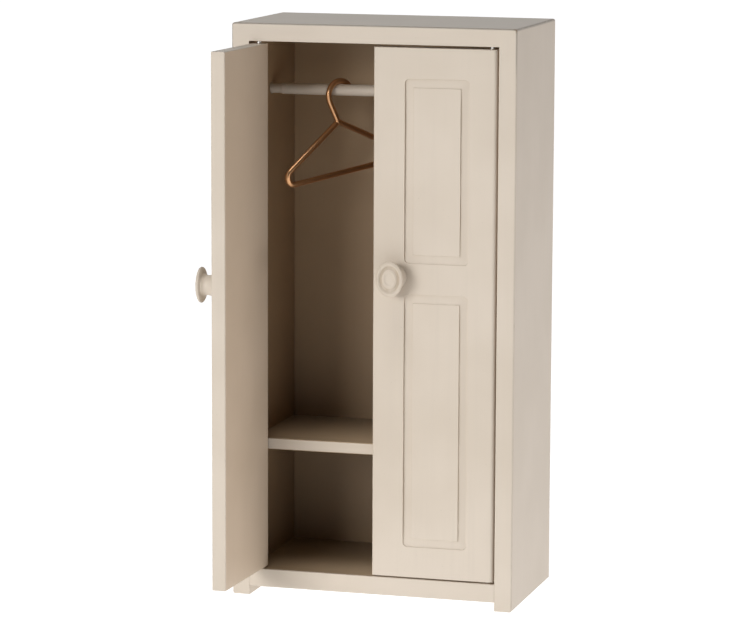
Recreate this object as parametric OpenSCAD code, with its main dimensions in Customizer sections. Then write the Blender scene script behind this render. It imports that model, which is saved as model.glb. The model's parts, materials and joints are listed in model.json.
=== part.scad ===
// Miniature two-door wardrobe for a dolls house: painted board carcass, routed
// doors turning on steel pins, a shelf, a hanging rail and one wire hanger.
// Millimetres. +Z is up, -Y is the front, and the origin is on the floor under
// the middle of the carcass. The left door is drawn standing open.

/* [Carcass] */
// Overall height of the carcass
height = 200; // [180:1:240]
// Overall width of the carcass
width = 100.6; // [96:0.2:130]
// Depth from front edge to rear edge
depth = 55.9; // [54:0.1:75]
// Thickness of the side boards
side_t = 6.2; // [5.6:0.1:8]
// Thickness of the top board
top_t = 6.2; // [5.6:0.1:8]
// Thickness of the bottom board
bottom_t = 6.4; // [5.6:0.1:8]
// How far the sides run on below the bottom board as feet
foot_h = 3.05; // [2:0.05:6]
// Thickness of the back panel
back_t = 3; // [2:0.1:4]
// How far the back panel sits inside the rear edges
back_inset = 1; // [0:0.1:2]
// Thickness of the shelf
shelf_t = 4; // [3:0.1:5]
// Height of the shelf's top face above the floor
shelf_top = 55; // [40:0.5:80]
// Gap between the shelf's front edge and a closed door
shelf_door_gap = 0.6; // [0.4:0.05:1]

/* [Doors] */
// Thickness of each door
door_t = 5; // [4:0.1:6]
// How far the closed doors sit behind the front edges of the carcass
door_recess = 0.2; // [0:0.05:0.4]
// Gap between the two closed doors
centre_gap = 0.74; // [0.4:0.02:1.2]
// Gap at the hinge side of each door
hinge_gap = 0.4; // [0.35:0.05:1]
// Gap above each door
top_gap = 0.9; // [0.5:0.05:1.5]
// Gap below each door
bottom_gap = 0.42; // [0.3:0.02:1]
// Radius of the sanded free edge of each door
door_edge_r = 0.5; // [0.3:0.1:1.2]
// Radius that lets the hinge edge of each door turn inside the frame
door_heel_r = 1.5; // [1.2:0.1:2]
// Angle at which the left door stands open
left_open = 92; // [60:1:100]

/* [Routed panels] */
// Width of the routed groove
groove_w = 3.2; // [2:0.1:4]
// Depth of the routed groove
groove_depth = 0.7; // [0.4:0.1:1.2]
// Outer corner radius of the groove
groove_corner_r = 1.6; // [1:0.1:2]
// Stile beside the free edge of the door
stile_free = 10.9; // [9:0.1:14]
// Stile beside the hinge edge of the door
stile_hinge = 9.65; // [8:0.05:14]
// Height of the rail above the upper panel
rail_top = 10.5; // [8:0.1:14]
// Height of the rail below the lower panel
rail_bottom = 10.7; // [8:0.1:14]
// Lower edge of the middle rail above the floor
mid_rail_low = 108.7; // [80:0.1:120]
// Height of the middle rail
mid_rail_h = 10.5; // [8:0.1:16]

/* [Hinge pins] */
// Diameter of the steel pins
pin_d = 1.6; // [1.2:0.1:2]
// Distance of the pivot behind the door's front face
pivot_behind = 2.3; // [2:0.1:2.6]
// Distance of the pivot from the door's hinge edge
pivot_inset = 2.45; // [1.9:0.05:2.6]
// Length of pin held in the door
pin_in_door = 6; // [4:0.5:10]
// Length of pin that turns in the board
pin_in_board = 3.2; // [2:0.1:4]
// Radial running clearance of a pin in its board
pin_clearance = 0.05; // [0.02:0.01:0.1]

/* [Knobs] */
// Width of the oval knob
knob_w = 9.6; // [7:0.1:11]
// Height of the oval knob
knob_h = 12.3; // [8:0.1:14]
// Distance that the knob stands out from the door
knob_out = 7.2; // [5:0.1:9]
// Distance of the knob's centre from the door's free edge
knob_from_edge = 7.6; // [6:0.1:8]
// Height of the knob's centre above the floor
knob_z = 114.5; // [100:0.5:130]
// How much lower the knob on the left-hand door sits
left_knob_drop = 1.1; // [0:0.1:2]
// Diameter of the narrowest part of the neck
knob_waist_d = 5.6; // [4:0.1:7]
// Diameter of the neck where it meets the door
knob_base_d = 8.6; // [6:0.1:9]
// Diameter of the spigot glued into the door
spigot_d = 3; // [2:0.1:4]
// Length of the spigot
spigot_len = 3.4; // [2:0.1:4]

/* [Hanging rail] */
// Diameter of the rail
rail_d = 4; // [3:0.1:6]
// Diameter of the turned ends that sit in the sockets
rail_end_d = 3.4; // [2.4:0.1:3.8]
// Length of turned end that shows inside the carcass
rail_end_show = 4.2; // [1:0.1:8]
// Distance of the rail behind the front of the carcass
rail_back = 25.6; // [22:0.1:30]
// Height of the rail's axis above the floor
rail_z = 175.6; // [165:0.1:180]
// Depth of the socket in each side board
socket_depth = 3.2; // [2:0.1:4]

/* [Hanger] */
// Diameter of the hanger wire
wire_d = 2; // [1.4:0.1:2.2]
// Half width of the hanger, to the middle of the wire
hanger_half = 24.1; // [18:0.1:24.5]
// Drop from the neck to the bottom bar
hanger_drop = 18; // [14:0.5:22]
// Slope of the shoulders
shoulder = 30; // [25:1:35]
// Radius of the hook, to the middle of the wire
hook_r = 5; // [4:0.1:6]
// Sideways offset of the hook's centre from the neck
hook_side = 2.1; // [0:0.1:3]
// Height of the hook's centre above the neck
hook_up = 9; // [7:0.1:12]
// How far the hanger is twisted away from the line of the rail
hanger_turn = 54; // [40:1:56]
// Tilt at which the hanger balances on its hook
hanger_tilt = 7.9; // [0:0.1:10]
// How far the hook's centre sits in front of the rail's axis when it hangs balanced
hook_lean = 0.35; // [0:0.05:0.6]
// Where the hook sits along the rail, from the middle
hook_along = -19.1; // [-22:0.1:-14]

/* [Hidden] */
$fn = 64;

CREAM = [0.86, 0.81, 0.74];
STEEL = [0.72, 0.72, 0.72];
COPPER = [0.66, 0.38, 0.20];

eps = 0.01;
glue_gap = 0.02;        // between a glued spigot or pin and its hole
socket_clearance = 0.06; // running clearance of the rail in its sockets
socket_rim = 0.5;       // width and depth of the countersink at each socket
end_play = 0.3;         // free length of the rail between the socket bottoms
hook_gap = 0.15;        // daylight between the hook and the rail
wire_lap = 0.06;        // how far each straight wire runs into the next bend
bend_swell = 0.02;      // the wire is a touch thicker where it has been bent

front = -depth / 2;
rear = depth / 2;
inner_w = width - 2 * side_t;
floor_top = foot_h + bottom_t;
ceiling = height - top_t;
back_front = rear - back_inset - back_t;

door_low = floor_top + bottom_gap;
door_high = ceiling - top_gap;
door_h = door_high - door_low;
door_x0 = centre_gap / 2;
door_x1 = inner_w / 2 - hinge_gap;
door_w = door_x1 - door_x0;
door_face = front + door_recess;
door_back = door_face + door_t;
pivot_x = door_x1 - pivot_inset;
pivot_y = door_face + pivot_behind;

panel_w = door_w - stile_free - stile_hinge;
panel_x = door_x0 + stile_free;
mid_rail_high = mid_rail_low + mid_rail_h;
upper_h = door_high - rail_top - mid_rail_high;
lower_h = mid_rail_low - rail_bottom - door_low;

knob_x = door_x0 + knob_from_edge;
rail_y = front + rail_back;

// 2D rectangle with its lower left corner at the origin and round corners
module round_rect(w, h, r) {
    translate([r, 0]) square([w - 2 * r, h]);
    translate([0, r]) square([w, h - 2 * r]);
    for (x = [r, w - r], y = [r, h - r]) {
        translate([x, y]) circle(r);
    }
}

// ---------- carcass ----------

// Upright side board with a mitred top end, standing on the right
module side_board() {
    difference() {
        translate([0, rear, 0])
            rotate([90, 0, 0])
                linear_extrude(depth)
                    polygon([[inner_w / 2, 0], [width / 2, 0], [width / 2, height],
                             [inner_w / 2, ceiling]]);
        translate([inner_w / 2, rail_y, rail_z])
            rotate([0, 90, 0])
                rail_socket();
    }
}

// Blind hole with a countersunk mouth, opening towards -Z
module rail_socket() {
    socket_r = rail_end_d / 2 + socket_clearance;
    translate([0, 0, -eps]) cylinder(r = socket_r, h = socket_depth + eps);
    translate([0, 0, -eps]) cylinder(r1 = socket_r + socket_rim, r2 = socket_r, h = socket_rim + eps);
}

module left_side() {
    color(CREAM) mirror([1, 0, 0]) side_board();
}

module right_side() {
    color(CREAM) side_board();
}

// Top board, mitred at both ends to meet the sides
module top_board() {
    color(CREAM)
        difference() {
            translate([0, rear, 0])
                rotate([90, 0, 0])
                    linear_extrude(depth)
                        polygon([[-inner_w / 2, ceiling], [inner_w / 2, ceiling],
                                 [width / 2, height], [-width / 2, height]]);
            for (x = [-pivot_x, pivot_x]) {
                translate([x, pivot_y, ceiling - eps]) pin_bore();
            }
        }
}

module bottom_board() {
    color(CREAM)
        difference() {
            translate([-inner_w / 2, front, foot_h]) cube([inner_w, depth, bottom_t]);
            for (x = [-pivot_x, pivot_x]) {
                translate([x, pivot_y, floor_top + eps]) mirror([0, 0, 1]) pin_bore();
            }
        }
}

// Blind running bore for a hinge pin, going upwards
module pin_bore() {
    cylinder(r = pin_d / 2 + pin_clearance, h = pin_in_board + 0.3 + eps);
}

module back_panel() {
    color(CREAM)
        translate([-inner_w / 2, back_front, floor_top])
            cube([inner_w, back_t, ceiling - floor_top]);
}

module shelf() {
    shelf_front = door_back + shelf_door_gap;
    color(CREAM)
        translate([-inner_w / 2, shelf_front, shelf_top - shelf_t])
            cube([inner_w, back_front - shelf_front, shelf_t]);
}

// ---------- doors ----------

// Carries a piece of the closed right door over to the open left door
module on_left_door() {
    translate([-pivot_x, pivot_y, 0])
        rotate([0, 0, -left_open])
            translate([pivot_x, -pivot_y, 0])
                mirror([1, 0, 0])
                    children();
}

// Routed groove round a panel, cut in from the front face
module panel_groove(z, h) {
    translate([panel_x, door_face + groove_depth, z])
        rotate([90, 0, 0])
            linear_extrude(groove_depth + eps)
                difference() {
                    round_rect(panel_w, h, groove_corner_r);
                    translate([groove_w, groove_w])
                        square([panel_w - 2 * groove_w, h - 2 * groove_w]);
                }
}

// Plan of a closed door, with its free edge at X = 0
module door_plan() {
    edge = door_edge_r;
    heel = door_heel_r;
    translate([edge, 0]) square([door_w - edge - heel, door_t]);
    translate([0, edge]) square([2 * edge, door_t - 2 * edge]);
    translate([door_w - 2 * heel, heel]) square([2 * heel, door_t - 2 * heel]);
    for (y = [edge, door_t - edge]) {
        translate([edge, y]) circle(edge);
    }
    for (y = [heel, door_t - heel]) {
        translate([door_w - heel, y]) circle(heel);
    }
}

// A closed right-hand door, with the socket for its knob at knob_height
module door_leaf(knob_height) {
    difference() {
        translate([door_x0, door_face, door_low])
            linear_extrude(door_h)
                door_plan();
        panel_groove(mid_rail_high, upper_h);
        panel_groove(door_low + rail_bottom, lower_h);
        translate([knob_x, door_face - eps, knob_height])
            rotate([-90, 0, 0])
                cylinder(d = spigot_d + 2 * glue_gap, h = spigot_len + 0.2);
        for (z = [door_low - eps, door_high - pin_in_door - glue_gap]) {
            translate([pivot_x, pivot_y, z])
                cylinder(d = pin_d + 2 * glue_gap, h = pin_in_door + glue_gap + eps);
        }
    }
}

module left_door() {
    color(CREAM) on_left_door() door_leaf(knob_z - left_knob_drop);
}

module right_door() {
    color(CREAM) door_leaf(knob_z);
}

// Oval plate of the knob, widest at its middle, drawn from z0 upwards
module oval_plate(z0, thick, grow) {
    translate([0, 0, z0])
        linear_extrude(thick)
            polygon([for (a = [0:7.5:352.5])
                [(knob_w / 2 + grow) * cos(a), (knob_h / 2 + grow) * sin(a)]]);
}

// Knob standing out along +Z: spigot, waisted neck and a thick oval plate
module knob_shape() {
    plate_back = knob_out - 1.9;
    waist_z = knob_out - 3.2;
    rotate_extrude()
        polygon([[0, -spigot_len], [spigot_d / 2, -spigot_len], [spigot_d / 2, 0],
                 [knob_base_d / 2, 0], [knob_waist_d / 2, waist_z],
                 [knob_waist_d / 2 + 0.9, plate_back + 0.4], [0, plate_back + 0.4]]);
    oval_plate(plate_back, 0.4, -0.7);
    oval_plate(plate_back + 0.4, 0.9, 0);
    oval_plate(plate_back + 1.3, 0.6, -0.6);
}

module knob_on_right(knob_height) {
    translate([knob_x, door_face, knob_height]) rotate([90, 0, 0]) knob_shape();
}

module left_knob() {
    color(CREAM) on_left_door() knob_on_right(knob_z - left_knob_drop);
}

module right_knob() {
    color(CREAM) knob_on_right(knob_z);
}

// Steel pin from z upwards; both doors use the same length
module hinge_pin(z, gap) {
    translate([pivot_x, pivot_y, z]) cylinder(d = pin_d, h = pin_in_door + gap + pin_in_board);
}

module top_pin() {
    hinge_pin(door_high - pin_in_door, top_gap);
}

module bottom_pin() {
    hinge_pin(floor_top - pin_in_board, bottom_gap);
}

module left_top_pin() {
    color(STEEL) on_left_door() top_pin();
}

module left_bottom_pin() {
    color(STEEL) on_left_door() bottom_pin();
}

module right_top_pin() {
    color(STEEL) top_pin();
}

module right_bottom_pin() {
    color(STEEL) bottom_pin();
}

// ---------- rail and hanger ----------

module hanging_rail() {
    end_len = rail_end_show + socket_depth - end_play / 2;
    body_half = inner_w / 2 - rail_end_show;
    color(CREAM)
        translate([0, rail_y, rail_z])
            rotate([0, 90, 0]) {
                translate([0, 0, -body_half]) cylinder(d = rail_d, h = 2 * body_half);
                for (s = [-1, 1]) {
                    translate([0, 0, s > 0 ? body_half : -body_half - end_len])
                        cylinder(d = rail_end_d, h = end_len);
                }
            }
}

// Straight stretch of wire between two points of the hanger's own plane, let a
// little way into the bends at its ends
module wire(a, b) {
    run = b - a;
    translate([a.x, a.y, 0])
        rotate([0, 0, atan2(run.y, run.x)])
            translate([-wire_lap, 0, 0])
                rotate([0, 90, 0])
                    cylinder(d = wire_d, h = norm(run) + 2 * wire_lap);
}

// Bend of the wire about a centre, from one angle through a sweep
module bend(centre, r, from, sweep) {
    translate([centre.x, centre.y, 0])
        rotate([0, 0, from])
            rotate_extrude(angle = sweep)
                translate([r, 0]) circle(d = wire_d + bend_swell);
}

// The hanger flat in the XY plane, its neck at the origin
module hanger_flat() {
    corner_r = (hanger_half * sin(shoulder) - hanger_drop * cos(shoulder))
             / (sin(shoulder) - cos(shoulder) - 1);
    corner_x = hanger_half - corner_r;
    corner_y = corner_r - hanger_drop;
    shoulder_x = corner_x + corner_r * sin(shoulder);
    shoulder_y = corner_y + corner_r * cos(shoulder);
    for (s = [-1, 1]) {
        wire([0, 0], [s * shoulder_x, shoulder_y]);
    }
    wire([-corner_x, -hanger_drop], [corner_x, -hanger_drop]);
    bend([corner_x, corner_y], corner_r, -90, 180 - shoulder);
    bend([-corner_x, corner_y], corner_r, 90 + shoulder, 180 - shoulder);

    hook_dist = norm([hook_side, hook_up]);
    stem_len = sqrt(hook_dist * hook_dist - hook_r * hook_r);
    stem_dir = atan2(hook_up, hook_side) + asin(hook_r / hook_dist);
    wire([0, 0], [stem_len * cos(stem_dir), stem_len * sin(stem_dir)]);
    bend([hook_side, hook_up], hook_r, -5, stem_dir + 90 + 5);
    sphere(d = wire_d * 1.2);
}

module hanger() {
    // Offset of the hook's centre from the neck once the hanger is tilted
    across = hook_side * cos(hanger_tilt) - hook_up * sin(hanger_tilt);
    above = hook_side * sin(hanger_tilt) + hook_up * cos(hanger_tilt);
    crest = rail_z + rail_d / 2 + hook_gap;
    color(COPPER)
        translate([hook_along - across * cos(hanger_turn),
                   rail_y - hook_lean - across * sin(hanger_turn),
                   crest - above - hook_r + wire_d / 2])
            rotate([0, -hanger_tilt, hanger_turn])
                rotate([90, 0, 0])
                    hanger_flat();
}

left_side();
right_side();
top_board();
bottom_board();
back_panel();
shelf();
hanging_rail();
left_door();
right_door();
left_knob();
right_knob();
left_top_pin();
left_bottom_pin();
right_top_pin();
right_bottom_pin();
hanger();
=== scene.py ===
"""Miniature wardrobe: the finished pieces, their paint, and a studio stage.

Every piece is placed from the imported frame, in metres: +Z up, -Y the front, the
origin on the floor under the middle of the carcass.
"""

import json
from math import asin, atan2, cos, hypot, pi, radians, sin, sqrt

import bmesh
import bpy
from bpy.props import FloatProperty, FloatVectorProperty, PointerProperty
from mathutils import Matrix, Vector, noise


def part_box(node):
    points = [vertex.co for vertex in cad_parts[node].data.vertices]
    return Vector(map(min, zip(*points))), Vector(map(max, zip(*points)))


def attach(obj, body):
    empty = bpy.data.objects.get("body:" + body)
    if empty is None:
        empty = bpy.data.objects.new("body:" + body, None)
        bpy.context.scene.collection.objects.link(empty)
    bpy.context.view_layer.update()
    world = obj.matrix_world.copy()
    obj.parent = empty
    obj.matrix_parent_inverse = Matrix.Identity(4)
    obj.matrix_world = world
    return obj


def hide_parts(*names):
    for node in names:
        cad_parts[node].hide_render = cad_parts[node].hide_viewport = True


bl_info = {
    "name": "Miniature Wardrobe",
    "version": (1, 0, 0),
    "blender": (4, 5, 0),
    "location": "View3D > Sidebar > Wardrobe",
    "description": "Builds a painted dolls-house wardrobe with its hanger and a studio stage",
    "category": "Object",
}

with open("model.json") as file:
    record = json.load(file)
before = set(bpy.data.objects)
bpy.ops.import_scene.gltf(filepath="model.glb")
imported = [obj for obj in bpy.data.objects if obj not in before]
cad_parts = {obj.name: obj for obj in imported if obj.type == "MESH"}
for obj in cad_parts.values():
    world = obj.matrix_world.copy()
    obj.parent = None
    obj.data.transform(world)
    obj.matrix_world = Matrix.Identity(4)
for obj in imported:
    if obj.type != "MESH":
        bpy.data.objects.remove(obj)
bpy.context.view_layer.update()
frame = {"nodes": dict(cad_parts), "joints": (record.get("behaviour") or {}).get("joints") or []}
BOX = {name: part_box(name) for name in frame["nodes"]}
JOINT = {joint["name"]: joint for joint in frame["joints"]}

MM = 0.001

# Places that several pieces share
FRONT = BOX["right_side"][0].y
REAR = BOX["right_side"][1].y
HALF_WIDTH = BOX["right_side"][1].x
INNER_HALF = BOX["right_side"][0].x
HEIGHT = BOX["right_side"][1].z
CEILING = BOX["top_board"][0].z
FLOOR_TOP = BOX["bottom_board"][1].z
PIVOT_LEFT = Vector(JOINT["left_door_hinge"]["pos_m"])
PIVOT_RIGHT = Vector(JOINT["right_door_hinge"]["pos_m"])
LEFT_OPEN = radians(-JOINT["left_door_hinge"]["range_deg"][0])
RAIL_AXIS = Vector(JOINT["hanger_swing"]["pos_m"])

# Holes and pegs
SOCKET_RADIUS, SOCKET_DEPTH, SOCKET_RIM = 1.76 * MM, 3.2 * MM, 0.45 * MM
PIN_BORE_RADIUS, PIN_BORE_DEPTH = 0.85 * MM, 3.5 * MM
KNOB_PEG_RADIUS = 1.5 * MM

# How far out the plain oval in the middle of a knob lies, as a share of the knob's reach
BOSS_OUT = 0.915

# Sets the noise behind the hand sanding and the router's wander
SEED = 7

# How finely the meshes are made
ROUND_STEPS = 4
CORNER_STEPS = 6
SIDE_PARTS = (16, 48)
BORE_SIDES = 40
KNOB_SIDES = 48
RAIL_SIDES = 32
WIRE_SIDES = 16
SHARP = radians(40)
SAME_PLACE = 1e-7


# ---------------------------------------------------------------- settings


def length(name, description, millimetres):
    """A length property, given in millimetres and kept in metres."""
    return FloatProperty(
        name=name, description=description, default=millimetres * MM, unit="LENGTH", precision=5
    )


def angle(name, description, degrees):
    """An angle property, given in degrees and kept in radians."""
    return FloatProperty(
        name=name, description=description, default=radians(degrees), subtype="ANGLE"
    )


def amount(name, description, value):
    """A plain number."""
    return FloatProperty(name=name, description=description, default=value)


def colour(name, description, value):
    """A colour property, in linear red, green and blue."""
    return FloatVectorProperty(
        name=name, description=description, default=value, subtype="COLOR", min=0, max=1
    )


class WardrobeBoards(bpy.types.PropertyGroup):
    """Edges and joints of the painted boards"""

    arris: length("Arris radius", "Sanded radius of the outer edges", 0.6)
    corner: length("Top corner radius", "Radius of the two mitred top corners", 0.85)
    tremor: length("Hand sanding", "How far a sanded edge wanders from straight", 0.05)


class WardrobeDoors(bpy.types.PropertyGroup):
    """Routed decoration of the two doors"""

    groove_width: length("Groove width", "Width of the routed cove", 3.2)
    groove_depth: length("Groove depth", "Depth of the routed cove", 0.55)
    groove_tremor: length("Groove wander", "How far the router wandered", 0.06)
    groove_corner: length("Groove corner", "Outer corner radius of the cove", 1.6)
    stile_free: length("Free stile", "Stile beside the free edge", 10.9)
    stile_hinge: length("Hinge stile", "Stile beside the hinge edge", 9.65)
    rail_top: length("Top rail", "Height of the rail above the upper panel", 10.5)
    rail_bottom: length("Bottom rail", "Height of the rail below the lower panel", 10.7)
    mid_rail_low: length("Middle rail foot", "Height of the middle rail's lower edge", 108.7)
    mid_rail: length("Middle rail", "Height of the middle rail", 10.5)
    arris: length("Door arris", "Sanded radius of the door's edges", 0.45)
    heel: length("Door heel", "Radius that lets the hinge edge turn inside the frame", 1.5)


class WardrobeHanger(bpy.types.PropertyGroup):
    """Bent wire of the clothes hanger"""

    wire: length("Wire", "Diameter of the wire", 2.0)
    half: length("Half width", "Half width to the middle of the wire", 24.1)
    drop: length("Drop", "Height from the bottom bar to the neck", 18.0)
    shoulder: angle("Shoulder", "Slope of the shoulders", 30)
    hook: length("Hook radius", "Radius of the hook to the middle of the wire", 5.0)
    hook_side: length("Hook side", "Sideways offset of the hook's centre", 2.1)
    hook_up: length("Hook height", "Height of the hook's centre over the neck", 9.0)
    turn: angle("Turn", "How far the hanger is twisted away from the rail", 54)
    tilt: angle("Tilt", "Tilt at which it balances on its hook", 7.9)
    along: length("Along", "Where the hook sits along the rail", -19.1)
    lean: length("Lean", "How far the hook's centre is in front of the rail's axis", 0.35)
    daylight: length("Daylight", "Gap between the hook and the rail", 0.15)


class WardrobeFinish(bpy.types.PropertyGroup):
    """Colours of the paints"""

    cream: colour("Cream paint", "Satin paint on all outer faces", (0.60, 0.522, 0.435))
    # Painted shade: a darker, warmer copy of the cream paint for the faces inside the carcass; the
    # darkness is painted shade.
    inside: colour("Inside paint", "Thinner coat inside the carcass", (0.43, 0.292, 0.168))
    # Painted shade: a darker, greyer copy of the cream paint for the shelf and the faces of the top
    # and bottom boards inside the carcass.
    shelf: colour("Shelf paint", "Undercoat on the shelf and the boards it faces", (0.48, 0.362, 0.24))
    # Painted shade and painted warm bounce light: a warmer, slightly darker copy of the cream paint
    # for the doors' inner faces.
    thin: colour("Thin paint", "Warmer thin coat on the doors' inner faces", (0.60, 0.485, 0.37))
    board: colour("Bare board", "Board where the paint is rubbed through", (0.24, 0.17, 0.11))


class WardrobeStage(bpy.types.PropertyGroup):
    """Camera and lights"""

    azimuth: angle("Azimuth", "Camera's turn to the right of the front", 16.11)
    elevation: angle("Elevation", "Camera's height above the horizon", 8.656)
    roll: angle("Roll", "Camera's roll", 0.239)
    distance: length("Distance", "From the camera to the front of the carcass", 1209.4)
    aim_side: length("Aim side", "Sideways place of the aim point", 1.17)
    aim_height: length("Aim height", "Height of the aim point", 101.9)
    lens: amount("Lens", "Focal length in millimetres", 169.53)
    key: amount("Key light", "Power of the front left softbox in watts", 14.9)
    overhead: amount("Overhead light", "Power of the softbox overhead in watts", 4.7)
    fill: amount("Fill card", "Power of the card on the right in watts", 1.75)
    bounce: amount("Floor bounce", "Light thrown up by the pale floor in watts", 6.8)
    sky: amount("Room light", "Strength of the even light of the room", 0.05)
    floor_glow: amount("Floor glow", "How white the sweep looks by itself", 1.0)


GROUPS = {
    "wardrobe_boards": WardrobeBoards,
    "wardrobe_doors": WardrobeDoors,
    "wardrobe_hanger": WardrobeHanger,
    "wardrobe_finish": WardrobeFinish,
    "wardrobe_stage": WardrobeStage,
}


# ---------------------------------------------------------------- shader maths


class Field:
    """Something that varies over a surface: one output socket, with arithmetic for numbers."""

    def __init__(self, shader, socket):
        self.shader = shader
        self.socket = socket

    def _with(self, operation, first, second):
        return self.shader.node("ShaderNodeMath", {"operation": operation}, {0: first, 1: second})

    def __add__(self, other):
        return self._with("ADD", self, other)

    def __radd__(self, other):
        return self._with("ADD", other, self)

    def __sub__(self, other):
        return self._with("SUBTRACT", self, other)

    def __mul__(self, other):
        return self._with("MULTIPLY", self, other)

    def __pow__(self, other):
        return self._with("POWER", self, other)

    def ramp(self, low, high, to_low=0.0, to_high=1.0):
        """Smooth step from to_low at low to to_high at high."""
        limits = {"From Min": low, "From Max": high, "To Min": to_low, "To Max": to_high}
        settings = {"interpolation_type": "SMOOTHSTEP"}
        return self.shader.node("ShaderNodeMapRange", settings, {"Value": self, **limits})


class Shader:
    """A material under construction, ending in one Principled shader."""

    MIX_FACTOR, MIX_A, MIX_B, MIX_RESULT = 0, 6, 7, 2

    def __init__(self, name):
        self.material = bpy.data.materials.new(name)
        self.material.use_nodes = True
        self.tree = self.material.node_tree
        self.surface = self.tree.nodes["Principled BSDF"]
        self.place = self.node("ShaderNodeTexCoord", output="Object")

    def node(self, kind, settings=None, inputs=None, output=0):
        """Adds a node, feeds its inputs and gives one of its outputs."""
        made = self.tree.nodes.new(kind)
        for key, value in (settings or {}).items():
            setattr(made, key, value)
        for key, value in (inputs or {}).items():
            self.feed(made.inputs[key], value)
        return Field(self, made.outputs[output])

    def feed(self, socket, value):
        """Links a field to a socket, or sets a plain value on it."""
        if isinstance(value, Field):
            self.tree.links.new(value.socket, socket)
        elif socket.type == "RGBA" and len(value) == 3:
            socket.default_value = (*value, 1.0)
        else:
            socket.default_value = value

    def set(self, **sockets):
        """Feeds the Principled shader: base_color=..., roughness=... and so on."""
        known = {socket.name.lower(): socket for socket in self.surface.inputs}
        for key, value in sockets.items():
            self.feed(known[key.replace("_", " ")], value)

    def mix(self, first, second, factor):
        """The first colour where the factor is 0, the second where it is 1."""
        inputs = {self.MIX_FACTOR: factor, self.MIX_A: first, self.MIX_B: second}
        settings = {"data_type": "RGBA", "clamp_factor": True}
        return self.node("ShaderNodeMix", settings, inputs, self.MIX_RESULT)

    def noise(self, stretch, detail=2.0, rough=0.5, warp=0.0):
        """Cloudy noise from 0 to 1; stretch is the number of clouds per metre on each axis."""
        where = self.node(
            "ShaderNodeMapping", {"vector_type": "POINT"}, {"Vector": self.place, "Scale": stretch}
        )
        inputs = {"Vector": where, "Scale": 1.0, "Detail": detail, "Roughness": rough}
        inputs["Distortion"] = warp
        return self.node("ShaderNodeTexNoise", None, inputs)

    def rise(self, axis, level, fade):
        """0 up to a level along x, y or z, then rising to 1 over the fade beyond it."""
        split = self.node("ShaderNodeSeparateXYZ", None, {"Vector": self.place}, "xyz".index(axis))
        return split.ramp(level, level + fade)

    def mark(self, name):
        """A float that the piece's own mesh carries, such as how near an arris is."""
        return self.node("ShaderNodeAttribute", {"attribute_name": name}, output="Fac")

    def bump(self, height, distance):
        """Relief of a height from 0 to 1 over a distance in metres."""
        inputs = {"Height": height, "Distance": distance, "Strength": 1.0}
        return self.node("ShaderNodeBump", None, inputs)


# ---------------------------------------------------------------- finishes


def scaled(tint, *factors):
    """The tint times one factor, or times a factor for each channel."""
    if len(factors) == 1:
        factors = factors * 3
    return tuple(f * c for f, c in zip(factors, tint))


def bared(tint, board, share):
    """The tint with a share of bare board in it."""
    return tuple((1 - share) * t + share * b for t, b in zip(tint, board))


def satin_paint(name, tint, grain, thin=None):
    """Brushed satin paint on board. grain is the axis that the brush followed: x, y or z.
    The last argument says where painted shade darkens the coat: axis, level, fade and how much darker."""
    board = bpy.context.scene.wardrobe_finish.board
    s = Shader(name)
    along = [14.0 if axis == grain else 420.0 for axis in "xyz"]
    fine = [60.0 if axis == grain else 1900.0 for axis in "xyz"]
    clouds = s.noise((22, 22, 22), detail=3.0)
    strokes = s.noise(along, detail=4.0, rough=0.6, warp=0.3)
    hairs = s.noise(fine, detail=2.0)
    peel = s.noise((900, 900, 900), detail=1.0)
    flecks = s.noise((1500, 1500, 1500), detail=2.0, rough=0.7).ramp(0.73, 0.78)

    # The coat itself: cloudy and streaked, and darker towards one end, which is painted shade
    base = s.mix(scaled(tint, 0.955, 0.945, 0.925), scaled(tint, 1.035), clouds.ramp(0.3, 0.7))
    base = s.mix(base, scaled(tint, 0.93), strokes.ramp(0.45, 0.8) * 0.35)
    if thin:
        axis, level, fade, loss = thin
        base = s.mix(scaled(tint, 1 - loss), base, s.rise(axis, level, fade))

    # Paint pooled in the coves, and painted shade on the cove walls that face away from the key light
    pooling_and_shade = s.noise((300, 300, 90), detail=4.0).ramp(0.30, 0.62, 0.25, 1.0)
    base = s.mix(base, scaled(tint, 0.66, 0.60, 0.52), s.mark("cove") ** 2.5 * pooling_and_shade * 0.8)
    # A darker band on every rounded arris, strongest along the top edges above 18 cm
    arris = s.mark("arris")
    toward_top = s.rise("z", 0.18, 0.012) * 0.7
    base = s.mix(base, scaled(tint, 0.58), arris * (0.3 + toward_top))
    # Wear rubbed through on the arrises, and at the mitre
    rubbed = arris * s.noise((500, 500, 160), detail=5.0, rough=0.65).ramp(0.60, 0.72)
    base = s.mix(base, bared(tint, board, 0.45), rubbed * 0.75)
    seam = s.mark("seam") * s.noise((700, 160, 700), detail=4.0).ramp(0.34, 0.50)
    base = s.mix(base, bared(tint, board, 0.75), seam)
    base = s.mix(base, scaled(tint, 0.6), flecks * 0.5)

    relief = strokes * 0.5 + hairs * 0.22 + peel * 0.28 - rubbed * 0.9 - seam * 1.2
    s.set(
        base_color=base,
        roughness=0.46 + clouds * 0.08 - strokes * 0.06 + rubbed * 0.2,
        specular_ior_level=0.36,
        normal=s.bump(relief, 0.05 * MM),
    )
    return s.material


def finish_for(kind):
    """The material of this name. Metals come with the frame; a paint is made once and shared."""
    finish = bpy.context.scene.wardrobe_finish
    ready = bpy.data.materials.get(kind)
    if ready:
        return ready
    coat, grain = kind.rsplit("_", 1)
    tint, thin = {
        "cream_paint": (finish.cream, None),
        # The door inner paint is a warmer copy of the cream: painted shade and painted warm bounce
        # light.
        "thin_paint": (finish.thin, None),
        # Painted shade: the inside paint is darker towards the bottom, the shelf paint darker towards
        # the back.
        "inside_paint": (finish.inside, ("z", 0.02, 0.11, 0.24)),
        "shelf_paint": (finish.shelf, ("y", 0.020, -0.036, 0.40)),
    }[coat]
    return satin_paint(kind, tuple(tint), grain, thin)


# ---------------------------------------------------------------- mesh tools


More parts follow.
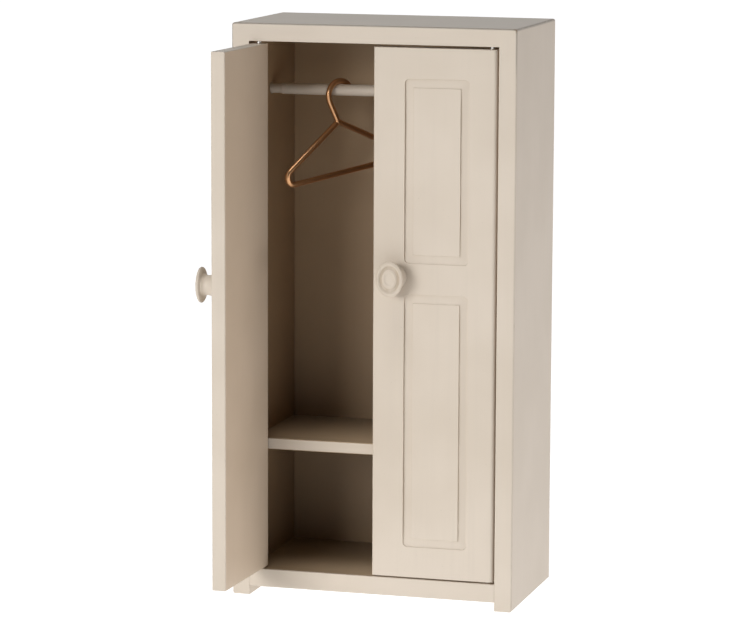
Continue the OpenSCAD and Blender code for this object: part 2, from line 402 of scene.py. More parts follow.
def piece_from(bm, name, body, materials, node=None):
    """Turns a bmesh into a named piece on its body, in place of a CAD node."""
    bmesh.ops.remove_doubles(bm, verts=bm.verts, dist=SAME_PLACE)
    bmesh.ops.recalc_face_normals(bm, faces=bm.faces)
    for edge in bm.edges:
        edge.smooth = len(edge.link_faces) != 2 or edge.calc_face_angle() < SHARP
    mesh = bpy.data.meshes.new(name)
    bm.to_mesh(mesh)
    bm.free()
    piece = bpy.data.objects.new(name, mesh)
    bpy.context.scene.collection.objects.link(piece)
    for kind in materials:
        mesh.materials.append(finish_for(kind))
    for face in mesh.polygons:
        face.use_smooth = True
    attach(piece, body)
    if node:
        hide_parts(node)
    return piece


def keep_flats_flat(piece):
    """Large flat faces keep straight shading beside the small rounded edges."""
    weighted = piece.modifiers.new("flats", "WEIGHTED_NORMAL")
    weighted.keep_sharp = True
    weighted.weight = 100


def arc(cx, cz, radius, start, end, steps):
    """Points along an arc, angles in degrees."""
    turns = [radians(start + (end - start) * i / steps) for i in range(steps + 1)]
    return [(cx + radius * cos(t), cz + radius * sin(t)) for t in turns]


def between(start, goal, parts):
    """Points strictly between two points."""
    shares = [k / parts for k in range(1, parts)]
    return [(start[0] + (goal[0] - start[0]) * f, start[1] + (goal[1] - start[1]) * f) for f in shares]


def stepped(outline, gap, margin=0.8 * MM):
    """Adds points along the long edges. Each entry is (x, z, weight of the edge that follows)."""
    out = []
    for i, (x, z, w) in enumerate(outline):
        nx, nz, _ = outline[(i + 1) % len(outline)]
        run = hypot(nx - x, nz - z)
        parts = round(run / gap)
        shares = [0.0]
        if parts > 1:
            near = margin / run
            shares += [near, *(k / parts for k in range(1, parts)), 1 - near]
        out += [(x + (nx - x) * f, z + (nz - z) * f, w) for f in shares]
    return out


def turning(outline):
    """1 at each point where the outline turns by more than 8 degrees, and 0 elsewhere."""
    out = []
    for i, (x, z, _) in enumerate(outline):
        px, pz, _ = outline[i - 1]
        nx, nz, _ = outline[(i + 1) % len(outline)]
        bend = abs(atan2(nz - z, nx - x) - atan2(z - pz, x - px)) % (2 * pi)
        out.append(1.0 if min(bend, 2 * pi - bend) > radians(8) else 0.0)
    return out


def sanded(outline, reach, seed):
    """Lets the edges with full weight wander a little, as sanding by hand does."""
    out = []
    for i, (x, z, w) in enumerate(outline):
        before = outline[i - 1][2]
        sway = reach * min(w, before, 1.0)
        drift = noise.noise_vector(Vector((x * 40, z * 40, seed * 7.3)))
        out.append((x + drift.x * sway, z + drift.z * sway, w))
    return out


def inset(outline, distance):
    """The outline moved inwards by distance times each edge's weight."""
    edges = []
    for i, (x, z, w) in enumerate(outline):
        nx, nz, _ = outline[(i + 1) % len(outline)]
        run = hypot(nx - x, nz - z)
        normal = (-(nz - z) / run, (nx - x) / run)
        shift = distance * w
        edges.append((x + normal[0] * shift, z + normal[1] * shift, (nx - x) / run, (nz - z) / run))
    out = []
    for i in range(len(outline)):
        ax, az, adx, adz = edges[i - 1]
        bx, bz, bdx, bdz = edges[i]
        cross = adx * bdz - adz * bdx
        if abs(cross) < 1e-4:
            out.append((bx, bz))
        else:
            t = ((bx - ax) * bdz - (bz - az) * bdx) / cross
            out.append((ax + adx * t, az + adz * t))
    return out


def circle(sides):
    """Angles once round a circle."""
    return [2 * pi * i / sides for i in range(sides)]


def add_loop(bm, points):
    """New vertices at the points, in their order."""
    return [bm.verts.new(p) for p in points]


def bridge(bm, loops):
    """Joins each loop to the next with a band of faces."""
    for first, second in zip(loops, loops[1:]):
        n = len(first)
        for i in range(n):
            bm.faces.new((first[i], first[(i + 1) % n], second[(i + 1) % n], second[i]))


def cap(bm, loops):
    """Closes the first and the last loop."""
    bm.faces.new(loops[0])
    bm.faces.new(loops[-1])


def edge_rounds(front, back):
    """(face, inwards, inset, wear) of each loop of a board with both faces' edges rounded."""
    turns = [pi / 2 * i / ROUND_STEPS for i in range(ROUND_STEPS + 1)]
    near = [(front, 1 - cos(t), 1 - sin(t), sin(2 * t)) for t in turns]
    far = [(back, cos(t) - 1, 1 - sin(t), sin(2 * t)) for t in reversed(turns)]
    return near + far


def new_mesh():
    """An empty bmesh with the marks that the paint reads."""
    bm = bmesh.new()
    for layer in ("arris", "cove", "seam"):
        bm.verts.layers.float.new(layer)
    return bm


def plank_loops(bm, outline, front, back, radius, wear_share=1.0):
    """The rounded edge surface of a board whose outline lies in the XZ plane."""
    loops = []
    arris = bm.verts.layers.float["arris"]
    turns = turning(outline)
    widest = [max(w, outline[i - 1][2]) for i, (_, _, w) in enumerate(outline)]
    for face, inwards, share, wear in edge_rounds(front, back):
        points = inset(outline, radius * share)
        loop = add_loop(
            bm, [(x, face + radius * w * inwards, z) for (x, z), w in zip(points, widest)]
        )
        loops.append(loop)
        for v, w, turn in zip(loop, widest, turns):
            v[arris] = wear_share * min(1.0, w) * max(wear, 0.5 * turn) if share < 1 else 0.0
    bridge(bm, loops)
    return loops


def drill(piece, centre, direction, radius, depth, rim=0.0):
    """Cuts a blind round hole into a finished piece, with an optional countersink."""
    bm = bmesh.new()
    proud = -0.5 * MM
    stations = [(proud, radius + rim), (0.0, radius + rim)] if rim else []
    stations += [(rim or proud, radius), (depth, radius)]
    turns = circle(BORE_SIDES)
    loops = [
        add_loop(bm, [(r * cos(t), r * sin(t), along) for t in turns]) for along, r in stations
    ]
    bridge(bm, loops)
    cap(bm, loops)
    bmesh.ops.recalc_face_normals(bm, faces=bm.faces)
    turn = Vector((0, 0, 1)).rotation_difference(direction).to_matrix().to_4x4()
    bm.transform(Matrix.Translation(centre) @ turn)
    mesh = bpy.data.meshes.new("drill")
    bm.to_mesh(mesh)
    bm.free()
    bit = bpy.data.objects.new("drill", mesh)
    bpy.context.scene.collection.objects.link(bit)
    cut = piece.modifiers.new("hole", "BOOLEAN")
    cut.operation = "DIFFERENCE"
    cut.solver = "EXACT"
    cut.object = bit
    with bpy.context.temp_override(object=piece, active_object=piece):
        bpy.ops.object.modifier_apply(modifier=cut.name)
    bpy.data.objects.remove(bit)


def paint_inside(piece):
    """Gives the faces that look into the carcass the second material, a darker copy of the paint that
    stands in for the shade inside.
    """
    margin = 0.3 * MM
    for face in piece.data.polygons:
        c, n = face.center, face.normal
        within = (
            abs(c.x) <= INNER_HALF + margin
            and FLOOR_TOP - margin <= c.z <= CEILING + margin
            and FRONT + margin < c.y < REAR - 2 * MM
        )
        on_back_wall = n.y < -0.5 and c.y > 0
        looks_in = n.x * c.x < -0.5 * abs(c.x) or abs(n.z) > 0.5 or on_back_wall
        if within and looks_in:
            face.material_index = 1


# ---------------------------------------------------------------- pieces


def side_outline(settings):
    """Right-hand side board in the XZ plane, anticlockwise seen from the front."""
    r = settings.corner
    foot = 0.5 * MM
    top = [(x, z, 1.0) for x, z in arc(HALF_WIDTH - r, HEIGHT - r, r, 0, 45, 5)]
    top[-1] = (*top[-1][:2], 0.0)
    return [
        (INNER_HALF, 0, 0.2),
        (HALF_WIDTH - foot, 0, 0.4),
        (HALF_WIDTH, foot, 1.0),
        *top,
        (INNER_HALF, CEILING, 0.2),
    ]


def top_outline(settings):
    """Top board in the XZ plane, mitred into both sides."""
    r = settings.corner
    right = [(x, z, 1.0) for x, z in arc(HALF_WIDTH - r, HEIGHT - r, r, 45, 90, 5)]
    left = [(-x, z, 1.0) for x, z, _ in reversed(right)]
    left[-1] = (*left[-1][:2], 0.0)
    return [
        (-INNER_HALF, CEILING, 0.2),
        (INNER_HALF, CEILING, 0.0),
        *right,
        *left,
    ]


def box_outline(low, high, ends, faces):
    """Rectangle whose upright ends have their own edge weight."""
    return [
        (low.x, low.z, faces),
        (high.x, low.z, ends),
        (high.x, high.z, faces),
        (low.x, high.z, ends),
    ]


def mitre_tip(settings):
    """Where the right-hand mitre meets the rounded corner, as x and z."""
    tip_in = settings.corner * (1 - sqrt(0.5))
    return HALF_WIDTH - tip_in, HEIGHT - tip_in


def mark_seam(bm, tips, loops):
    """Marks the hairline at the outer end of the mitre, widest on the front edge's rounding."""
    seam = bm.verts.layers.float["seam"]
    for i, loop in enumerate(loops[1:-1]):
        reach = 0.65 * MM if i < ROUND_STEPS - 1 else 0.25 * MM
        for v in loop:
            for x, z in tips:
                if hypot(v.co.x - x, v.co.z - z) < reach:
                    v[seam] = 1.0


def build_board(name, outline, front, back, radius, materials, seed, tips=()):
    """A solid painted board with sanded arrises, replacing the node of the same name."""
    settings = bpy.context.scene.wardrobe_boards
    bm = new_mesh()
    shape = sanded(stepped(outline, 9 * MM), settings.tremor, seed)
    loops = plank_loops(bm, shape, front, back, radius)
    cap(bm, loops)
    mark_seam(bm, tips, loops)
    piece = piece_from(bm, name + "_board", "carcass", materials, name)
    paint_inside(piece)
    return piece


def mirrored(outline):
    """The outline reflected to the other side, still anticlockwise."""
    flipped = [(-x, z, w) for x, z, w in outline]
    points = [(x, z) for x, z, _ in reversed(flipped)]
    weights = [w for _, _, w in reversed(flipped)]
    weights = weights[1:] + weights[:1]
    return [(x, z, w) for (x, z), w in zip(points, weights)]


def build_sides():
    """Both side boards, each with a socket for the rail. Only the right-hand mitre shows."""
    settings = bpy.context.scene.wardrobe_boards
    outline = side_outline(settings)
    coats = ["cream_paint_z", "inside_paint_z"]
    for name, side in (("left_side", -1), ("right_side", 1)):
        shape = outline if side > 0 else mirrored(outline)
        tips = [mitre_tip(settings)] if side > 0 else []
        piece = build_board(name, shape, FRONT, REAR, settings.arris, coats, side, tips)
        mouth = Vector((side * INNER_HALF, RAIL_AXIS.y, RAIL_AXIS.z))
        drill(piece, mouth, Vector((side, 0, 0)), SOCKET_RADIUS, SOCKET_DEPTH, rim=SOCKET_RIM)
        keep_flats_flat(piece)


def build_top_and_bottom():
    """The top and bottom boards, bored for the four hinge pins."""
    settings = bpy.context.scene.wardrobe_boards
    coats = ["cream_paint_x", "shelf_paint_x"]
    tips = [mitre_tip(settings)]
    top = build_board("top_board", top_outline(settings), FRONT, REAR, settings.arris, coats, 3, tips)
    low, high = BOX["bottom_board"]
    outline = box_outline(low, high, ends=0.12, faces=0.6)
    bottom = build_board("bottom_board", outline, FRONT, REAR, settings.arris, coats, 4)
    for pivot in (PIVOT_LEFT, PIVOT_RIGHT):
        above = Vector((pivot.x, pivot.y, CEILING))
        below = Vector((pivot.x, pivot.y, FLOOR_TOP))
        drill(top, above, Vector((0, 0, 1)), PIN_BORE_RADIUS, PIN_BORE_DEPTH)
        drill(bottom, below, Vector((0, 0, -1)), PIN_BORE_RADIUS, PIN_BORE_DEPTH)
    keep_flats_flat(top)
    keep_flats_flat(bottom)


def build_back_and_shelf():
    """The thin back panel and the low shelf."""
    coats = ["cream_paint_z", "inside_paint_z"]
    low, high = BOX["back_panel"]
    outline = box_outline(low, high, ends=1.0, faces=1.0)
    back = build_board("back_panel", outline, low.y, high.y, 0.12 * MM, coats, 5)
    low, high = BOX["shelf"]
    outline = box_outline(low, high, ends=0.1, faces=1.0)
    coats = ["cream_paint_x", "shelf_paint_x"]
    shelf = build_board("shelf", outline, low.y, high.y, 0.4 * MM, coats, 6)
    keep_flats_flat(back)
    keep_flats_flat(shelf)


def rounded_rect(x0, x1, z0, z1, radius):
    """Anticlockwise loop of fixed count: four corner arcs and evenly divided sides."""
    corners = [
        (x1 - radius, z0 + radius, -90),
        (x1 - radius, z1 - radius, 0),
        (x0 + radius, z1 - radius, 90),
        (x0 + radius, z0 + radius, 180),
    ]
    points = []
    for i, (cx, cz, start) in enumerate(corners):
        bend = arc(cx, cz, radius, start, start + 90, CORNER_STEPS)
        points += bend
        nx, nz, next_start = corners[(i + 1) % 4]
        goal = arc(nx, nz, radius, next_start, next_start + 90, CORNER_STEPS)[0]
        points += between(bend[-1], goal, SIDE_PARTS[(i + 1) % 2])
    return points


def cove_loops(bm, x0, x1, z0, z1, face, settings):
    """One routed ring: a cove that is deepest near its outer lip, crisp on both sides."""
    width, depth, corner = settings.groove_width, settings.groove_depth, settings.groove_corner
    # (share of the width, share of the depth, how dark the cove is marked: pooled paint and painted
    # shade)
    profile = [
        (0.0, 0.0, 0.1), (0.018, 0.05, 0.5), (0.03, 0.55, 1.0), (0.055, 0.86, 1.0),
        (0.13, 1.0, 0.6), (0.40, 0.93, 0.2), (0.66, 0.80, 0.2), (0.85, 0.70, 0.6),
        (0.945, 0.62, 1.0), (0.975, 0.40, 1.0), (0.985, 0.05, 0.5), (1.0, 0.0, 0.1),
    ]
    loops = []
    for share, sink, cove in profile:
        across = width * share
        radius = corner + (0.3 * MM - corner) * share
        points, shades = [], []
        for x, z in rounded_rect(x0 + across, x1 - across, z0 + across, z1 - across, radius):
            slow = noise.noise_vector(Vector((x * 45, z * 45, x0 * 9 + share)))
            quick = noise.noise_vector(Vector((x * 420, z * 420, z0 * 9 + 3 * share)))
            sway = settings.groove_tremor * (slow + 0.5 * quick)
            beside = min(x - x0, x1 - x) - min(z - z0, z1 - z)
            upright = min(1.0, max(0.0, 0.5 - beside / (2 * width)))
            bite = depth * (0.6 + 0.75 * upright)
            points.append((x + sway.x, face + sink * bite, z + sway.z))
            # Painted shade: on the upright legs the walls that face right, away from the key light,
            # get the full mark and the others a quarter; the level legs get a middle share
            shadowed_wall = 1.0 if (x < (x0 + x1) / 2) == (share < 0.5) else 0.25
            shades.append(cove * (0.55 + (shadowed_wall - 0.55) * upright))
        loop = add_loop(bm, points)
        for v, shade in zip(loop, shades):
            v[bm.verts.layers.float["cove"]] = shade
        loops.append(loop)
    bridge(bm, loops)
    bm.faces.new(loops[-1])
    return loops[0]


def door_mesh(seed):
    """The closed right-hand door, in place, as a bmesh."""
    settings = bpy.context.scene.wardrobe_doors
    boards = bpy.context.scene.wardrobe_boards
    low, high = BOX["right_door"]
    bm = new_mesh()
    outline = [
        (low.x, low.z, 0.6),
        (high.x, low.z, settings.heel / settings.arris),
        (high.x, high.z, 0.6),
        (low.x, high.z, 1.0),
    ]
    shape = sanded(stepped(outline, 8 * MM, margin=2 * MM), boards.tremor, seed)
    loops = plank_loops(bm, shape, low.y, high.y, settings.arris, wear_share=0.25)
    bm.faces.new(loops[-1])

    x0, x1 = low.x + settings.stile_free, high.x - settings.stile_hinge
    mid_low = settings.mid_rail_low
    mid_high = mid_low + settings.mid_rail
    rings = [
        cove_loops(bm, x0, x1, mid_high, high.z - settings.rail_top, low.y, settings),
        cove_loops(bm, x0, x1, low.z + settings.rail_bottom, mid_low, low.y, settings),
    ]
    borders = [loops[0], *rings]
    edges = [
        bm.edges.get(ends) for ring in borders for ends in zip(ring, ring[1:] + ring[:1])
    ]
    bmesh.ops.triangle_fill(bm, use_beauty=True, edges=edges, normal=(0, -1, 0))
    return bm


def to_left_leaf():
    """Carries a piece of the closed right door over to the open left door."""
    mirror = Matrix.Diagonal((-1, 1, 1, 1))
    turn = Matrix.Rotation(-LEFT_OPEN, 4, "Z")
    return Matrix.Translation(PIVOT_LEFT) @ turn @ Matrix.Translation(-PIVOT_LEFT) @ mirror


LEAVES = {"left": ("left_leaf", to_left_leaf()), "right": ("right_leaf", Matrix.Identity(4))}


def build_doors():
    """Both doors, with a warmer, darker paint on the face that looks inwards when closed: painted
    shade and painted warm bounce light.
    """
    for i, (side, (body, place)) in enumerate(LEAVES.items()):
        bm = door_mesh(seed=11 + i)
        bm.transform(place)
        name = side + "_door"
        coats = ["cream_paint_z", "thin_paint_z"]
        piece = piece_from(bm, name + "_leaf", body, coats, name)
        inwards = place.to_3x3() @ Vector((0, 1, 0))
        for face in piece.data.polygons:
            if face.normal.dot(inwards) > 0.95:
                face.material_index = 1
        keep_flats_flat(piece)


def knob_stations(reach):
    """(distance out, half width, half height) of each loop of the knob, from the door outwards."""
    low, high = BOX["right_knob"]
    a, b = (high.x - low.x) / 2, (high.z - low.z) / 2
    base, waist, flare = 4.5 * MM, 3.4 * MM, 4.0 * MM
    waist_at, flare_at = 0.55 * reach, 0.72 * reach
    stations = []
    for t in (i / 8 for i in range(9)):
        radius = waist + (base - waist) * (1 - t) ** 1.6
        stations.append((waist_at * t, radius, radius))
    for t in (i / 4 for i in range(1, 5)):
        radius = waist + (flare - waist) * t**2
        stations.append((waist_at + (flare_at - waist_at) * t, radius, radius))
    # Each part of the oval plate as (share of the reach, share of the width and height)
    plate = [(0.755, 0.82), (0.775, 0.90)]
    rim = [(0.875 - 0.085 * cos(pi * k / 8), 0.90 + 0.10 * sin(pi * k / 8)) for k in range(9)]
    lip = [(0.975, 0.88), (0.985, 0.84), (0.975, 0.80), (0.945, 0.765)]
    dish = [(0.925, 0.73), (0.915, 0.68), (0.915, 0.60), (0.92, 0.55), (0.935, 0.51)]
    ring = [(0.955, 0.46), (0.958, 0.40), (0.945, 0.35), (0.925, 0.31), (0.918, 0.24)]
    boss = [(BOSS_OUT, 0.17), (BOSS_OUT, 0.08)]
    stations += [(out * reach, k * a, k * b) for out, k in plate + rim + lip + dish + ring + boss]
    return stations


def oval(x, y, z, half_width, half_height):
    """Points of one upright loop of a knob, round its middle."""
    return [(x + half_width * cos(t), y, z + half_height * sin(t)) for t in circle(KNOB_SIDES)]


def build_knobs():
    """Both oval knobs, each turned in one with its neck and the peg that goes into the door."""
    low, high = BOX["right_knob"]
    door_face = BOX["right_door"][0].y
    centre_x = (low.x + high.x) / 2
    reach = door_face - low.y
    for side, (body, place) in LEAVES.items():
        centre_z = sum(corner.z for corner in BOX[side + "_knob"]) / 2
        bm = new_mesh()
        cove = bm.verts.layers.float["cove"]
        loops = []
        for out, a, b in knob_stations(reach):
            loop = add_loop(bm, oval(centre_x, door_face - out, centre_z, a, b))
            loops.append(loop)
            # The dish loops carry the cove mark, darkened like the coves: pooled paint and painted
            # shade in the recess
            share = 2 * a / (high.x - low.x)
            if out > 0.8 * reach and 0.53 < share < 0.75:
                for v in loop:
                    v[cove] = 1.0
        bridge(bm, loops)
        tip = bm.verts.new((centre_x, door_face - BOSS_OUT * reach, centre_z))
        for i in range(KNOB_SIDES):
            bm.faces.new((loops[-1][i], loops[-1][(i + 1) % KNOB_SIDES], tip))
        r = KNOB_PEG_RADIUS
        peg = [add_loop(bm, oval(centre_x, y, centre_z, r, r)) for y in (door_face, high.y)]
        bridge(bm, [loops[0], *peg])
        bm.faces.new(peg[-1])
        bm.transform(place)
        name = side + "_knob"
        piece = piece_from(bm, name + "_turned", body, ["cream_paint_z"], name)
        round_off = piece.modifiers.new("round", "SUBSURF")
        round_off.levels = 1
        round_off.render_levels = 1


def build_rail():
    """Painted dowel with turned-down ends, a little uneven as hand-painted wood is."""
    low = BOX["hanging_rail"][0]
    radius, end_radius, shoulder = 2.0 * MM, 1.7 * MM, 4.2 * MM
    body_end = INNER_HALF - shoulder
    chamfer, slope = 0.3 * MM, 0.35 * MM
    ends = [(low.x, end_radius - chamfer), (low.x + chamfer, end_radius)]
    ends += [
        (-body_end - slope * cos(t), end_radius + (radius - end_radius) * sin(t))
        for t in (0, pi / 8, pi / 4, 3 * pi / 8, pi / 2)
    ]
    middle = [(-body_end + 2 * body_end * k / 40, radius) for k in range(1, 40)]
    stations = ends + middle + [(-x, r) for x, r in reversed(ends)]
    bm = new_mesh()
    loops = []
    for x, r in stations:
        points = []
        for t in circle(RAIL_SIDES):
            swell = 0.02 * MM * noise.noise(Vector((x * 130, 2 * cos(t), 2 * sin(t))))
            rr = r + (swell if r == radius else 0.0)
            points.append((x, RAIL_AXIS.y + rr * cos(t), RAIL_AXIS.z + rr * sin(t)))
        loops.append(add_loop(bm, points))
    bridge(bm, loops)
    cap(bm, loops)
    coats = ["cream_paint_x"]
    piece = piece_from(bm, "hanging_rail_dowel", "rail", coats, "hanging_rail")
    keep_flats_flat(piece)


def hanger_path(h):
    """Middle line of the wire in the hanger's own plane, from the hook's tip to the neck."""
    sn, cs = sin(h.shoulder), cos(h.shoulder)
    corner = (h.half * sn - h.drop * cs) / (sn - cs - 1)
    cx, cz = h.half - corner, corner - h.drop
    hook_distance = hypot(h.hook_side, h.hook_up)
    heading = atan2(h.hook_up, h.hook_side) + asin(h.hook / hook_distance)
    hook_end = heading * 180 / pi + 90
    path = arc(h.hook_side, h.hook_up, h.hook, -5, hook_end, 40)
    top = path[-1]
    bend = 1.1 * MM
    entry = (bend * cos(heading), bend * sin(heading))
    leave = (-bend * cs, -bend * sn)
    path += between(top, entry, 8) + [entry]
    path += [
        (entry[0] * (1 - t) ** 2 + leave[0] * t**2, entry[1] * (1 - t) ** 2 + leave[1] * t**2)
        for t in (k / 8 for k in range(1, 9))
    ]
    lift = h.shoulder * 180 / pi
    left_bend = arc(-cx, cz, corner, 90 + lift, 270, 24)
    right_bend = arc(cx, cz, corner, -90, 90 - lift, 24)
    path += between(path[-1], left_bend[0], 12)
    path += left_bend
    path += between(left_bend[-1], right_bend[0], 24)
    path += right_bend
    path += between(right_bend[-1], (0.0, 0.0), 12) + [(0.0, 0.0)]
    return path


def hanger_place(h):
    """From the hanger's flat plane to where it hangs on the rail."""
    across = h.hook_side * cos(h.tilt) - h.hook_up * sin(h.tilt)
    above = h.hook_side * sin(h.tilt) + h.hook_up * cos(h.tilt)
    rail_radius = (BOX["hanging_rail"][1].z - BOX["hanging_rail"][0].z) / 2
    crest = RAIL_AXIS.z + rail_radius + h.daylight
    neck = Vector((
        h.along - across * cos(h.turn),
        RAIL_AXIS.y - h.lean - across * sin(h.turn),
        crest - above - h.hook + h.wire / 2,
    ))
    turn = Matrix.Rotation(h.turn, 4, "Z") @ Matrix.Rotation(-h.tilt, 4, "Y")
    return Matrix.Translation(neck) @ turn


def build_hanger():
    """The bent wire, and the bead of solder that closes it at the neck."""
    h = bpy.context.scene.wardrobe_hanger
    path = hanger_path(h)
    radius = h.wire / 2
    bm = new_mesh()
    loops = []
    for i, (x, z) in enumerate(path):
        ax, az = path[max(0, i - 1)]
        bx, bz = path[min(len(path) - 1, i + 1)]
        run = hypot(bx - ax, bz - az)
        side = Vector((az - bz, 0, bx - ax)) / run
        centre = Vector((x, 0, z))
        ring = [
            centre + radius * (cos(t) * side + Vector((0, sin(t), 0))) for t in circle(WIRE_SIDES)
        ]
        loops.append(add_loop(bm, ring))
    start = Vector((path[0][0], 0, path[0][1]))
    forward = (start - Vector((path[1][0], 0, path[1][1]))).normalized()
    cut = [v.co.copy() for v in loops[0]]
    # The hook's tip is filed round: how far on and how wide each loop is, in radii
    for lift, shrink in ((0.35, 0.92), (0.62, 0.7), (0.78, 0.4)):
        ring = [start + forward * radius * lift + (co - start) * shrink for co in cut]
        loops.insert(0, add_loop(bm, ring))
    bridge(bm, loops)
    cap(bm, loops)
    bm.transform(hanger_place(h))
    piece_from(bm, "hanger_wire", "clothes_hanger", ["copper_wire"], "hanger")

    bead = bmesh.new()
    bmesh.ops.create_icosphere(bead, subdivisions=4, radius=1.18 * radius)
    for v in bead.verts:
        lump = noise.noise(v.co * 1400) * 0.07
        v.co = Vector((v.co.x * 1.12, v.co.y, v.co.z * 0.95)) * (1 + lump)
    bead.transform(hanger_place(h))
    piece_from(bead, "hanger_solder", "clothes_hanger", ["copper_wire"])


def add_light(name, energy, place, aim, size, tint=(1, 1, 1)):
    """A rectangular softbox that the camera doesn't see."""
    data = bpy.data.lights.new(name, "AREA")
    data.energy = energy
    data.shape = "RECTANGLE"
    data.size, data.size_y = size
    data.color = tint
    light = bpy.data.objects.new(name, data)
    light.location = place
    light.rotation_euler = (Vector(aim) - Vector(place)).to_track_quat("-Z", "Y").to_euler()
    light.visible_camera = False
    bpy.context.scene.collection.objects.link(light)


def build_stage():
    """The sweep, the room's even light, four softboxes and the camera."""
    scene = bpy.context.scene
    st = scene.wardrobe_stage

    # A seamless pale sweep: flat floor, then a wide curve up behind. It throws no light and no
    # shadow on the pieces; the light from below the floor stands in for what it would give back
    bm = bmesh.new()
    half, flat, radius, top = 3.0, 1.6, 0.9, 2.6
    curve = arc(flat, radius, radius, -90, 0, 24)
    profile = [(-2.6, 0.0), (-0.6, 0.0), (0.5, 0.0), *curve, (flat + radius, top)]
    under = 0.05 * MM
    left = [bm.verts.new((-half, y, z - under)) for y, z in profile]
    right = [bm.verts.new((half, y, z - under)) for y, z in profile]
    for i in range(len(profile) - 1):
        bm.faces.new((left[i], right[i], right[i + 1], left[i + 1]))
    mesh = bpy.data.meshes.new("studio_sweep")
    bm.to_mesh(mesh)
    bm.free()
    mesh.shade_smooth()
    sweep = bpy.data.objects.new("studio_sweep", mesh)
    scene.collection.objects.link(sweep)
    s = Shader("studio_paper")
    s.set(
        base_color=(0.30, 0.30, 0.30),
        roughness=0.9,
        specular_ior_level=0.0,
        emission_color=(1.0, 1.0, 1.0),
        emission_strength=st.floor_glow,
    )
    mesh.materials.append(s.material)
    sweep.visible_diffuse = False
    sweep.visible_shadow = False

    world = bpy.data.worlds.new("studio_room")
    world.use_nodes = True
    background = world.node_tree.nodes["Background"]
    background.inputs["Color"].default_value = (1.0, 0.99, 0.97, 1.0)
    background.inputs["Strength"].default_value = st.sky
    scene.world = world

    middle = Vector((0.0, FRONT, 0.11))
    key_place = middle + Vector((-0.382, -0.899, 0.208)) * 1.6
    over_place = middle + Vector((-0.105, -0.273, 0.956)) * 1.3
    card_place, card_aim = (0.7, -0.06, 0.05), (0.05, 0.0, 0.06)
    below, straight_up = (-0.27, -0.2, -3 * MM), (-0.27, -0.2, 1.0)
    pink = (1.0, 0.955, 0.945)
    add_light("key_softbox", st.key, key_place, middle, (0.8, 0.5))
    add_light("overhead_softbox", st.overhead, over_place, middle, (0.5, 0.5))
    add_light("fill_card", st.fill, card_place, card_aim, (0.5, 0.1), pink)
    add_light("floor_bounce", st.bounce, below, straight_up, (1.4, 1.4))

    cam = bpy.data.objects.new("camera", bpy.data.cameras.new("camera"))
    scene.collection.objects.link(cam)
    back = Vector((
        sin(st.azimuth) * cos(st.elevation),
        -cos(st.azimuth) * cos(st.elevation),
        sin(st.elevation),
    ))
    cam.location = Vector((st.aim_side, FRONT, st.aim_height)) + back * st.distance
    roll = Matrix.Rotation(st.roll, 3, "Z")
    cam.rotation_euler = ((-back).to_track_quat("-Z", "Y").to_matrix() @ roll).to_euler()
    cam.data.lens = st.lens
    cam.data.sensor_width = 36.0
    cam.data.clip_start, cam.data.clip_end = 0.05, 20.0
    scene.camera = cam
    scene.view_settings.view_transform = "Standard"


# ---------------------------------------------------------------- operators and panel


class WARDROBE_OT_sides(bpy.types.Operator):
    """Build the two side boards with their rail sockets"""

    bl_idname = "wardrobe.sides"
    bl_label = "Side Boards"

    def execute(self, context):
        build_sides()
        return {"FINISHED"}


class WARDROBE_OT_top_and_bottom(bpy.types.Operator):
    """Build the mitred top board and the bottom board with their pin bores"""

    bl_idname = "wardrobe.top_and_bottom"
    bl_label = "Top and Bottom Boards"

    def execute(self, context):
        build_top_and_bottom()
        return {"FINISHED"}


class WARDROBE_OT_back_and_shelf(bpy.types.Operator):
    """Build the back panel and the shelf"""

    bl_idname = "wardrobe.back_and_shelf"
    bl_label = "Back Panel and Shelf"

    def execute(self, context):
        build_back_and_shelf()
        return {"FINISHED"}


class WARDROBE_OT_doors(bpy.types.Operator):
    """Build the two routed doors"""

    bl_idname = "wardrobe.doors"
    bl_label = "Doors"

    def execute(self, context):
        build_doors()
        return {"FINISHED"}


class WARDROBE_OT_knobs(bpy.types.Operator):
    """Build the two oval knobs"""

    bl_idname = "wardrobe.knobs"
    bl_label = "Knobs"

    def execute(self, context):
        build_knobs()
        return {"FINISHED"}


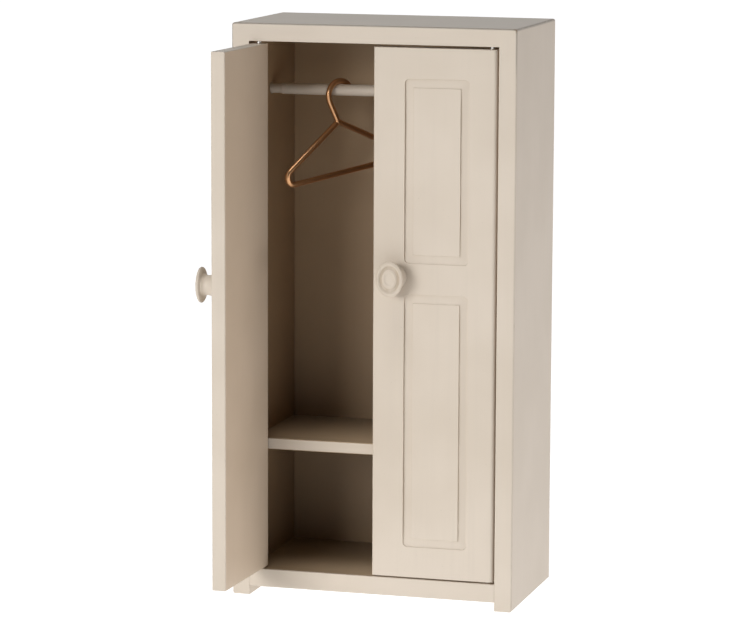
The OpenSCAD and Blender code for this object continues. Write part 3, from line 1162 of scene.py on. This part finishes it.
class WARDROBE_OT_rail(bpy.types.Operator):
    """Build the hanging rail"""

    bl_idname = "wardrobe.rail"
    bl_label = "Hanging Rail"

    def execute(self, context):
        build_rail()
        return {"FINISHED"}


class WARDROBE_OT_hanger(bpy.types.Operator):
    """Build the wire hanger and the solder at its neck"""

    bl_idname = "wardrobe.hanger"
    bl_label = "Clothes Hanger"

    def execute(self, context):
        build_hanger()
        return {"FINISHED"}


class WARDROBE_OT_stage(bpy.types.Operator):
    """Build the pale sweep, the lights and the camera"""

    bl_idname = "wardrobe.stage"
    bl_label = "Studio Stage"

    def execute(self, context):
        build_stage()
        return {"FINISHED"}


OPERATORS = [
    WARDROBE_OT_stage,
    WARDROBE_OT_sides,
    WARDROBE_OT_top_and_bottom,
    WARDROBE_OT_back_and_shelf,
    WARDROBE_OT_doors,
    WARDROBE_OT_knobs,
    WARDROBE_OT_rail,
    WARDROBE_OT_hanger,
]


class WARDROBE_PT_panel(bpy.types.Panel):
    """Lists the wardrobe's pieces and settings"""

    bl_label = "Miniature Wardrobe"
    bl_idname = "WARDROBE_PT_panel"
    bl_space_type = "VIEW_3D"
    bl_region_type = "UI"
    bl_category = "Wardrobe"

    def draw(self, context):
        for operator in OPERATORS:
            self.layout.operator(operator.bl_idname)
        for name, group in GROUPS.items():
            box = self.layout.box()
            for key in group.__annotations__:
                box.prop(getattr(context.scene, name), key)


def register():
    for cls in (*GROUPS.values(), *OPERATORS, WARDROBE_PT_panel):
        bpy.utils.register_class(cls)
    for name, group in GROUPS.items():
        setattr(bpy.types.Scene, name, PointerProperty(type=group))


def unregister():
    for name in GROUPS:
        delattr(bpy.types.Scene, name)
    for cls in reversed((*GROUPS.values(), *OPERATORS, WARDROBE_PT_panel)):
        bpy.utils.unregister_class(cls)


def main():
    """Builds every piece and the stage."""
    noise.seed_set(SEED)
    register()
    for operator in OPERATORS:
        family, name = operator.bl_idname.split(".")
        getattr(getattr(bpy.ops, family), name)()


if __name__ == "__main__":
    main()
